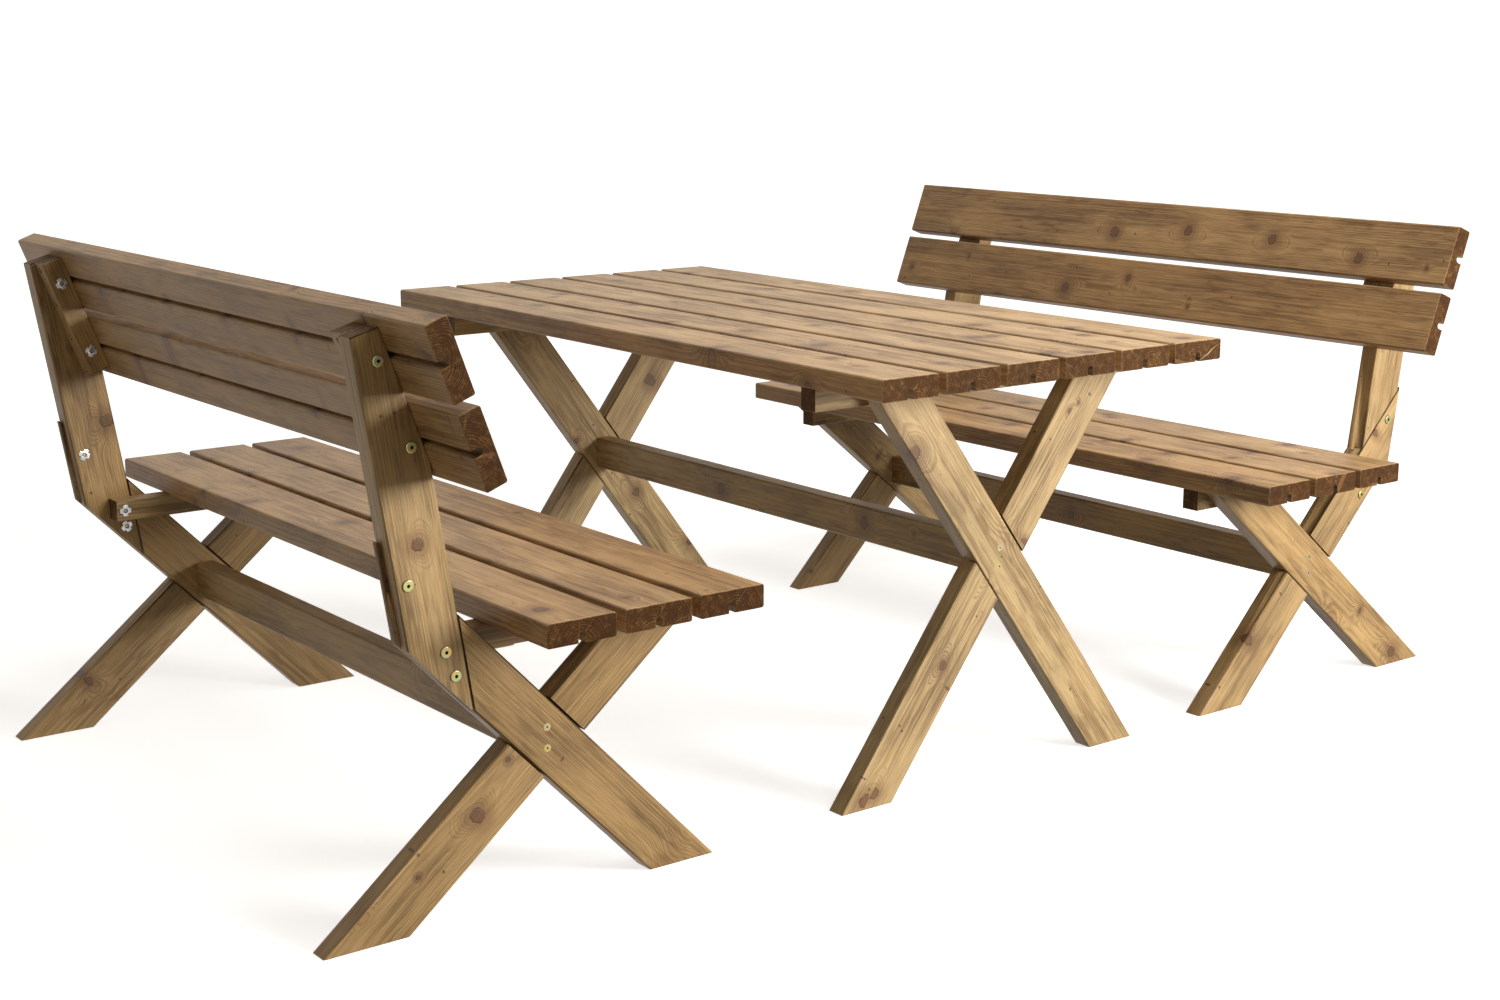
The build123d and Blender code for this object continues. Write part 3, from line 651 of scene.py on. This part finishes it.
def planed_face(tree, wood, early, late):
    """Rings of early and late wood, with the stain's streaks, smudges and darts over them."""
    rings = calc(tree, "MULTIPLY", wood["Late wood"], spread(tree, wood["Clouds"], 0.3, 0.7, 0.45, 0.95))
    colour = blend(tree, rings, early, late)
    soaked = spread(tree, wood["Clouds"], 0.36, 0.64, 0.30, 1.0)
    brown = calc(tree, "MULTIPLY", spread(tree, wood["Streaks"], 0.46, 0.70, 0.0, 0.80), soaked)
    colour = blend(tree, brown, colour, darker(late, 0.66))
    smudge = calc(tree, "MULTIPLY", spread(tree, wood["Smudges"], 0.50, 0.66, 0.0, 0.75), soaked)
    colour = blend(tree, smudge, colour, darker(late, 0.80))
    colour = blend(tree, calc(tree, "MULTIPLY", wood["Darts"], 0.30), colour, darker(late, 0.45))
    return blend(tree, spread(tree, wood["Near knot"], 0.15, 0.9, 0.0, 0.55), colour, NEAR_KNOT)


# %% [markdown]
# ### The sawn end
#
# On a sawn end the open fibres drink so much stain that the end turns dark brown. Only the hard late
# wood and the rays stay lighter, so there the rings are light on dark.

# %% The colour of a sawn end
def sawn_end(tree, wood, dark, light):
    """Dark end grain with light rings and rays, stronger in some patches than in others."""
    patchy = spread(tree, wood["Streaks"], 0.35, 0.68, 0.10, 0.75)
    colour = blend(tree, calc(tree, "MULTIPLY", wood["Late wood"], patchy), dark, light)
    colour = blend(tree, calc(tree, "MULTIPLY", wood["Pith rays"], patchy), colour, light)
    return blend(tree, spread(tree, wood["Streaks"], 0.55, 0.75, 0.0, 0.45), colour, light)


# %% [markdown]
# ### Knots, wear with painted rim highlights, and weather
#
# A knot has its own fine rings and a nearly black rim of bark. The eased edges are rubbed through to
# the early wood, and lightened there as a painted highlight too, most where they face up. Over
# everything, the fibres and clouds lighten and darken the wood a little, and each timber leans towards
# its own tone, because no two come from the same tree.

# %% The colours of the knots
KNOT_DARK = (0.115, 0.054, 0.020)
KNOT_LIGHT = (0.190, 0.100, 0.042)
KNOT_BARK = (0.045, 0.020, 0.009)
PIN_DARK = (0.070, 0.030, 0.012)


def add_knots(tree, wood, colour):
    """colour, with the knots, their bark and the pin knots over it."""
    heart = blend(tree, spread(tree, wood["Knot rings"], -1.0, 1.0), KNOT_DARK, KNOT_LIGHT)
    colour = blend(tree, wood["Knot"], colour, heart)
    colour = blend(tree, calc(tree, "MULTIPLY", wood["Knot rim"], 0.7), colour, KNOT_BARK)
    return blend(tree, calc(tree, "MULTIPLY", wood["Pins"], 0.75), colour, PIN_DARK)


# %% The colours of wear, painted rim highlights and weather
TONE_BROWN = (0.87, 0.80, 0.68)
TONE_PALE = (1.06, 1.09, 1.12)


def add_weather(tree, wood, colour, early):
    """colour, rubbed and lightened at the rims as wear and a painted highlight, shaded by the fibres and
    clouds, and leaning to the piece's tone.
    """
    # Wear and painted highlight: the eased rims are lightened towards the early wood, most where they face
    # up.
    rubbed_and_highlit = calc(tree, "MULTIPLY", mark_on(tree, "rim_wear_and_highlight"),
                  spread(tree, wood["Streaks"], 0.35, 0.6, 0.20, 0.85))
    colour = blend(tree, rubbed_and_highlit, colour, early)
    shade = calc(tree, "ADD", spread(tree, wood["Fibres"], 0.25, 0.75, 0.72, 1.20),
                 spread(tree, wood["Clouds"], 0.28, 0.72, 0.15, -0.17))
    grey = wire(tree, "CombineColor", {"Red": shade, "Green": shade, "Blue": shade}).outputs[0]
    colour = vector_calc(tree, "MULTIPLY", colour, grey)
    return vector_calc(tree, "MULTIPLY", colour, blend(tree, mark_on(tree, "tone"), TONE_BROWN, TONE_PALE))


# %% [markdown]
# ### The surface
#
# The stain leaves a silky film on a planed face and hardly any on a sawn end, so an end is rougher and
# its gloss is dull brown. Knots are a little harder and shinier. The surface is raised a little by the
# late wood and the fibres, which is too fine to model, so it is left to the bump.

# %% The gloss and relief of the wood
GLOSS = 0.38
GLOSS_PLANED = (1.0, 1.0, 1.0)
GLOSS_SAWN = (0.25, 0.18, 0.12)
RELIEF = 0.0008
RELIEF_STRENGTH = 0.35


def add_surface(tree, wood, sawn, shader):
    """Wires the shader's gloss, roughness and bump."""
    shader.inputs["Specular IOR Level"].default_value = GLOSS
    tree.links.new(blend(tree, sawn, GLOSS_PLANED, GLOSS_SAWN), shader.inputs["Specular Tint"])
    rough = calc(tree, "ADD", spread(tree, wood["Fibres"], 0.2, 0.8, 0.40, 0.56),
                 calc(tree, "MULTIPLY", sawn, 0.16))
    rough = calc(tree, "SUBTRACT", rough, calc(tree, "MULTIPLY", wood["Knot"], 0.03))
    tree.links.new(rough, shader.inputs["Roughness"])
    raised = calc(tree, "ADD", calc(tree, "MULTIPLY", wood["Late wood"], 0.35), wood["Fibres"])
    raised = calc(tree, "ADD", raised, calc(tree, "MULTIPLY", wood["Knot"], 0.4))
    raised = calc(tree, "SUBTRACT", raised, calc(tree, "MULTIPLY", wood["Knot rim"], 0.8))
    bump = wire(tree, "Bump", {"Height": raised, "Strength": RELIEF_STRENGTH, "Distance": RELIEF})
    tree.links.new(bump.outputs[0], shader.inputs["Normal"])


# %% [markdown]
# ### Two stains
#
# The boards of the tops, seats and backs are one shade redder than the frames under them. Both are made
# by the same helper from four colours: early and late wood on a planed face, and the dark and the light
# of a sawn end.

# %% Make the two finishes and give them to the timbers
BOARD_COLOURS = ((0.49, 0.325, 0.165), (0.270, 0.140, 0.052), (0.045, 0.018, 0.005), (0.19, 0.095, 0.034))
FRAME_COLOURS = ((0.465, 0.325, 0.155), (0.28, 0.165, 0.066), (0.060, 0.027, 0.008), (0.24, 0.130, 0.048))


def stained_wood(name, early, late, end_dark, end_light):
    """A wood finish from four colours: early and late wood on a planed face and on a sawn end."""
    finish = bpy.data.materials.new(name)
    finish.use_nodes = True
    tree = finish.node_tree
    shader = tree.nodes["Principled BSDF"]
    wood = wire(tree, "Group", {}, node_tree=figure).outputs
    sawn = spread(tree, mark_on(tree, "sawn"), 0.45, 0.75)
    planed = planed_face(tree, wood, early, late)
    colour = blend(tree, sawn, planed, sawn_end(tree, wood, end_dark, end_light))
    colour = add_weather(tree, wood, add_knots(tree, wood, colour), early)
    tree.links.new(colour, shader.inputs["Base Color"])
    add_surface(tree, wood, sawn, shader)
    return finish


board_finish = stained_wood("board_stain", *BOARD_COLOURS)
frame_finish = stained_wood("frame_stain", *FRAME_COLOURS)
for name, piece in timbers.items():
    piece.data.materials.clear()
    piece.data.materials.append(board_finish if "board" in name else frame_finish)
print("finishes:", board_finish.name, "and", frame_finish.name)

# %% [markdown]
# ## Bolts and screws
#
# The bolts and screws are zinc plated and passivated. The film is so thin that it plays between
# yellow, green and rose, slowly enough that one head is often greener than the next. So the colour is
# mixed from three, by two layers of soft noise that are a little wider than a bolt's head. The metal
# is darkened where little open sky is left: a painted shade in the sockets and round the heads where
# they meet the wood. The frame's own bolts and screws have the right shape, so they stay, and only
# their material slots are filled.

# %% Metal finishes
YELLOW_FILM = ((0.46, 0.34, 0.12), (0.34, 0.39, 0.18), (0.44, 0.30, 0.24))
BRIGHT_FILM = ((0.66, 0.68, 0.70), (0.56, 0.60, 0.64), (0.70, 0.69, 0.66))
SOCKET_SHADE = (0.02, 0.016, 0.012)
SOCKET_REACH = 0.004


def metal_noise(tree, place, scale, detail=1.0, distortion=0.0):
    """Soft noise with scale bumps in a metre."""
    inputs = {"Vector": place, "Scale": scale, "Detail": detail, "Distortion": distortion}
    return wire(tree, "TexNoise", inputs).outputs["Fac"]


def plated(name, colours, roughness):
    """A plated metal whose colour plays between three."""
    finish = bpy.data.materials.new(name)
    finish.use_nodes = True
    tree = finish.node_tree
    shader = tree.nodes["Principled BSDF"]
    place = wire(tree, "TexCoord", {}).outputs["Object"]
    colour = blend(tree, spread(tree, metal_noise(tree, place, 75.0), 0.42, 0.58), colours[0], colours[1])
    rose = metal_noise(tree, place, 48.0, distortion=0.8)
    colour = blend(tree, spread(tree, rose, 0.50, 0.66), colour, colours[2])
    # Painted shade: the colour falls to near black where the ambient occlusion finds little open sky, in
    # the sockets and round the heads.
    open_sky = wire(tree, "AmbientOcclusion", {"Distance": SOCKET_REACH}, samples=8).outputs["AO"]
    colour = blend(tree, spread(tree, open_sky, 0.55, 0.95), SOCKET_SHADE, colour)
    tree.links.new(colour, shader.inputs["Base Color"])
    shader.inputs["Metallic"].default_value = 1.0
    wear = metal_noise(tree, place, 900.0, detail=3.0)
    rough = spread(tree, wear, 0.3, 0.7, roughness - 0.07, roughness + 0.09)
    tree.links.new(rough, shader.inputs["Roughness"])
    return finish


yellow_zinc = plated("yellow_zinc", YELLOW_FILM, 0.38)
bright_zinc = plated("bright_zinc", BRIGHT_FILM, 0.30)
for name, piece in cad.items():
    if name.endswith(HARDWARE):
        for slot in piece.material_slots:
            slot.material = bright_zinc if name.endswith("nuts") else yellow_zinc
print("plated sets:", sum(name.endswith(HARDWARE) for name in cad))

# %% [markdown]
# ## Tee nuts
#
# A bolt ends in a tee nut on the inner face of the frame: a threaded barrel sunk in the wood, with a
# pressed flange that shows as four petals round a rolled lip. The frame has each nut as a plain disc and
# barrel. The flange could be drawn as an outline and thickened, but a cylinder gives its round arcs at
# once. So one real nut is modelled from a cylinder that lies along X, and the side faces of four of its
# arcs are drawn out into petals.

# %% Press the flange into four petals
PETAL_REACH = 0.0104
PETAL_HALF = 31
FLANGE_ROOT = 0.0078
FLANGE_THICK = 0.0014
ROUND = 48


def choose(mesh, test):
    """Selects the faces that pass a test and nothing else. It is used between two edit-mode steps."""
    bpy.ops.object.mode_set(mode="OBJECT")
    unselect(mesh)
    mesh.polygons.foreach_set("select", [bool(test(face)) for face in mesh.polygons])
    bpy.ops.object.mode_set(mode="EDIT")


def on_petal(face):
    """Whether a side face belongs to one of the four petals."""
    turn = math.degrees(math.atan2(face.center.z, face.center.y)) % 90
    return abs(face.normal.x) < 0.5 and abs(turn - 45) < PETAL_HALF


bpy.ops.object.select_all(action="DESELECT")
bpy.ops.mesh.primitive_cylinder_add(vertices=ROUND, radius=FLANGE_ROOT, depth=FLANGE_THICK,
                                    location=(-FLANGE_THICK / 2, 0, 0), rotation=(0, math.pi / 2, 0))
nut = bpy.context.object
bpy.ops.object.transform_apply(location=True, rotation=True, scale=True)
bpy.ops.object.mode_set(mode="EDIT")
bpy.ops.mesh.select_mode(type="FACE")
choose(nut.data, on_petal)
bpy.ops.mesh.extrude_region_move()
drawn = PETAL_REACH / FLANGE_ROOT
bpy.ops.transform.resize(value=(1, drawn, drawn), center_override=(0, 0, 0))
print("the petals reach", round(PETAL_REACH * 1000, 1), "mm from the bolt's axis")

# %% [markdown]
# ### Lip and barrel
#
# The flat face of the flange is inset and pushed out into a low lip, and the other face is inset and
# drawn out into the barrel. Deleting the two inner discs opens the bore, and a bridge between their
# rims gives it a wall, so the nut is one closed skin. A small bevel softens the pressed edges.

# %% Roll the lip, draw out the barrel and open the bore
LIP_REACH = 0.0052
LIP_HIGH = 0.0004
BORE = 0.0041
BARREL_REACH = 0.0049
BARREL_LONG = 0.0105
PRESSED_EDGE = 0.0003

choose(nut.data, lambda face: face.normal.x > 0.9 and len(face.vertices) > 8)
bpy.ops.mesh.inset(thickness=FLANGE_ROOT - LIP_REACH)
bpy.ops.mesh.extrude_region_move(TRANSFORM_OT_translate={"value": (LIP_HIGH, 0, 0)})
bpy.ops.mesh.inset(thickness=LIP_REACH - BORE)
bpy.ops.mesh.delete(type="ONLY_FACE")
choose(nut.data, lambda face: face.normal.x < -0.9 and len(face.vertices) > 8)
bpy.ops.mesh.inset(thickness=FLANGE_ROOT - BARREL_REACH)
bpy.ops.mesh.extrude_region_move(TRANSFORM_OT_translate={"value": (-BARREL_LONG, 0, 0)})
bpy.ops.mesh.inset(thickness=BARREL_REACH - BORE)
bpy.ops.mesh.delete(type="ONLY_FACE")
bpy.ops.mesh.select_all(action="DESELECT")
bpy.ops.mesh.select_mode(type="EDGE")
bpy.ops.mesh.select_non_manifold()
bpy.ops.mesh.bridge_edge_loops()
bpy.ops.mesh.select_all(action="SELECT")
bpy.ops.mesh.normals_make_consistent(inside=False)
bpy.ops.object.mode_set(mode="OBJECT")
bevel = nut.modifiers.new("soft_edges", "BEVEL")
bevel.width = PRESSED_EDGE
bevel.segments = 2
bevel.limit_method = "ANGLE"
bpy.ops.object.modifier_apply(modifier=bevel.name)
bpy.ops.object.shade_smooth_by_angle(angle=math.radians(40))
print("one tee nut has", len(nut.data.polygons), "faces and is",
      [round(s * 1000, 1) for s in nut.dimensions], "mm")

# %% [markdown]
# ### A nut for every bolt
#
# The frame keeps all the nuts of one body in one node. So that node's copy is welded and parted into
# its loose solids, and each solid says where its flange is and which way it faces. A copy of the real
# nut goes there, turned at random about its axis, as a spanner leaves it.

# %% Helpers that find the plain nuts
def loose_islands(node):
    """The points of each separate solid in a node of the frame."""
    open_copy(node, "plain")
    bpy.ops.mesh.separate(type="LOOSE")
    bpy.ops.object.mode_set(mode="OBJECT")
    solids = list(bpy.context.selected_objects)
    islands = [[v.co.copy() for v in solid.data.vertices] for solid in solids]
    for solid in solids:
        bpy.data.objects.remove(solid)
    return islands


def nut_place(points):
    """Where a plain nut's flange face is, and whether it faces +X (1) or -X (-1)."""
    y = (min(p.y for p in points) + max(p.y for p in points)) / 2
    z = (min(p.z for p in points) + max(p.z for p in points)) / 2
    low, high = min(p.x for p in points), max(p.x for p in points)
    wide = [p.x for p in points if math.hypot(p.y - y, p.z - z) > FLANGE_ROOT]
    facing = 1 if sum(wide) / len(wide) > (low + high) / 2 else -1
    return Vector((high if facing > 0 else low, y, z)), facing


# %% Put a nut at the place of every plain one
for name in sorted(n for n in cad if n.endswith("nuts")):
    copies = []
    for points in loose_islands(name):
        seat, facing = nut_place(points)
        one = add_object("nut", nut.data.copy())
        one.location = seat - Vector((LIP_HIGH * facing, 0, 0))
        one.rotation_euler = (chance.uniform(0, 6), 0, 0 if facing > 0 else math.pi)
        copies.append(one)
    bpy.ops.object.select_all(action="DESELECT")
    for one in copies:
        one.select_set(True)
    bpy.context.view_layer.objects.active = copies[0]
    bpy.ops.object.transform_apply(location=True, rotation=True, scale=True)
    bpy.ops.object.join()
    copies[0].name = "pressed_" + name
    copies[0].data.materials.append(bright_zinc)
    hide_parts(name)
    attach(copies[0], cad[name]["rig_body"])
    print(name, "holds", len(copies), "nuts")
bpy.data.objects.remove(nut)

# %% [markdown]
# ## The floor
#
# The floor is a plain pale sheet. Light that such a floor throws back would wash out the shade under
# the boards and the gloss of the wood, so it is kept out of both. It glows a little, and more so far
# from the set, so that it runs into the pale room without an edge and still takes the soft shadows
# under the legs.

# %% Lay the floor
FLOOR_SIZE = 60
FLOOR_DROP = 0.0005
FLOOR_PAINT = (0.86, 0.86, 0.86, 1)
GLOW_FROM = 1.8
GLOW_FULL = 5.0
GLOW_LEAST = 0.70

bpy.ops.object.select_all(action="DESELECT")
bpy.ops.mesh.primitive_plane_add(size=FLOOR_SIZE, location=(0, 0, -FLOOR_DROP))
floor = bpy.context.object
floor.name = "floor"
floor.visible_diffuse = False
floor.visible_glossy = False
floor_paint = bpy.data.materials.new("floor_paint")
floor_paint.use_nodes = True
floor_tree = floor_paint.node_tree
paint = floor_tree.nodes["Principled BSDF"]
paint.inputs["Base Color"].default_value = FLOOR_PAINT
paint.inputs["Roughness"].default_value = 0.8
paint.inputs["Emission Color"].default_value = (1, 1, 1, 1)
spot = wire(floor_tree, "TexCoord", {}).outputs["Object"]
apart = wire(floor_tree, "VectorMath", {0: spot}, operation="LENGTH").outputs["Value"]
glow = spread(floor_tree, apart, GLOW_FROM, GLOW_FULL, GLOW_LEAST, 1.0)
floor_tree.links.new(glow, paint.inputs["Emission Strength"])
floor.data.materials.append(floor_paint)
print("the floor is", FLOOR_SIZE, "m wide and glows fully from", GLOW_FULL, "m out")

# %% [markdown]
# ## Light
#
# One large soft lamp stands low beyond the +X end of the set, so that the ends and the outer faces of
# the frames are bright and the long front edges fall into shade. A second hangs over that end of the
# table and lights the boards from above. A weak wide one fills the shade from the -Y side. The room
# does the rest: it is dim and warm where it lights the wood, and pale in the gloss and behind the set.

# %% Hang the lamps
def soft_lamp(name, place, target, size, watts, colour):
    """A square soft lamp at place that faces target."""
    lamp = add_object(name, bpy.data.lights.new(name, "AREA"))
    lamp.data.size = size
    lamp.data.energy = watts
    lamp.data.color = colour
    lamp.location = place
    lamp.rotation_euler = (Vector(target) - Vector(place)).to_track_quat("-Z", "Y").to_euler()
    return lamp


lamps = [
    soft_lamp("key_lamp", (3.5, 1.5, 1.35), (0.2, -0.2, 0.4), 1.4, 176, (1.0, 0.97, 0.93)),
    soft_lamp("top_lamp", (1.2, 0.8, 3.0), (0.4, 0.2, 0.6), 1.8, 68, (1.0, 0.98, 0.95)),
    soft_lamp("fill_lamp", (1.5, -4.5, 2.2), (0.0, 0.0, 0.4), 2.5, 10, (1.0, 0.98, 0.94)),
]
print("the lamps give", sum(lamp.data.energy for lamp in lamps), "W")

# %% Light the room
ROOM_ON_WOOD = (0.155, 0.130, 0.090)
ROOM_IN_GLOSS = (1.02, 0.99, 0.95)
ROOM_BEHIND = (1.05, 1.05, 1.05)

room = bpy.data.worlds.new("room")
bpy.context.scene.world = room
room.use_nodes = True
sky = room.node_tree
rays = wire(sky, "LightPath", {}).outputs
mirrored = blend(sky, rays["Is Glossy Ray"], ROOM_ON_WOOD, ROOM_IN_GLOSS)
seen = blend(sky, rays["Is Camera Ray"], mirrored, ROOM_BEHIND)
sky.links.new(seen, sky.nodes["Background"].inputs["Color"])
bpy.context.scene.view_settings.view_transform = "Standard"
print("the room is lit, with the", bpy.context.scene.view_settings.view_transform, "view")
